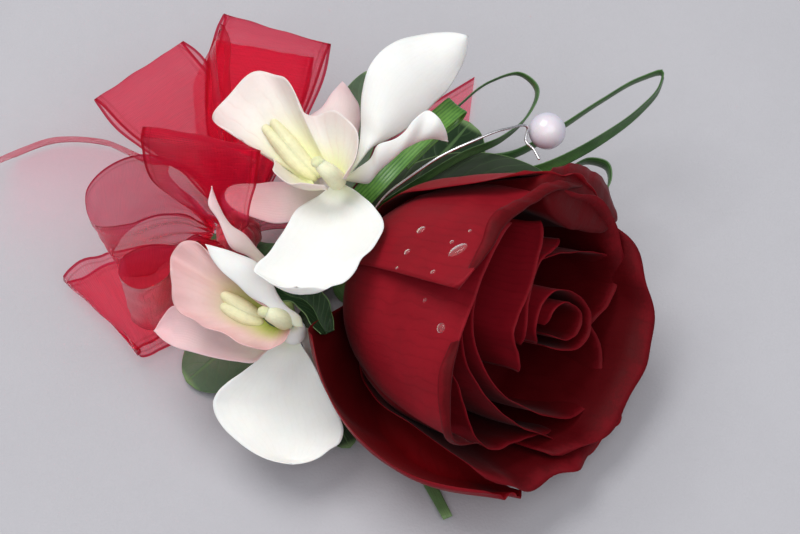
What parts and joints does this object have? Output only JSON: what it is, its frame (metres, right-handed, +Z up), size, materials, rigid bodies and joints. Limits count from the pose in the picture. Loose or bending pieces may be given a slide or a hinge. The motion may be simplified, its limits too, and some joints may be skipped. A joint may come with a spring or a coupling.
{
  "type": "rose corsage",
  "caption": "Corsage lying on a table: a dark red rose and white orchids over an organza ribbon bow, with leaves, looped grass and a pearl on a wire.",
  "frame": {"origin": "on the table under the middle of the corsage's bounding box", "axes": "+Z up from the table, +X from the bow towards the rose, along the corsage's longest extent, +Y away from the viewer of the picture"},
  "size_m": [0.158, 0.1164, 0.0625],
  "materials": {
    "rose_petals": "velvety dark crimson petal",
    "orchid_petals": "soft waxy white petal",
    "orchid_lip": "pale blush petal with a yellow-green throat",
    "green_leaf": "satin dark green leaf",
    "grass": "satin mid green grass blade",
    "stem_tape": "matte dark green waxed paper tape",
    "organza": "sheer red organza with dense woven edges",
    "pearl": "pearly gloss",
    "silver_wire": "bright silver wire"
  },
  "bodies": {
    "root": {"rose_bloom": "rose_petals", "rose_calyx": "green_leaf", "taped_stems": "stem_tape", "orchid_upper": "orchid_petals", "orchid_upper_lip": "orchid_lip", "orchid_lower": "orchid_petals", "orchid_lower_lip": "orchid_lip", "leaf_left": "green_leaf", "leaf_front": "green_leaf", "leaf_back": "green_leaf", "leaf_round": "green_leaf", "leaf_long": "green_leaf", "leaf_curled": "green_leaf", "grass_near_loop": "grass", "grass_far_loop": "grass", "grass_short_loop": "grass", "grass_blade": "grass", "pearl": "pearl", "pearl_wire": "silver_wire", "ribbon_bow": "organza", "ribbon_front_loop": "organza", "ribbon_round_loop": "organza", "ribbon_curl": "organza", "ribbon_lower_loop": "organza"}
  },
  "joints": []
}
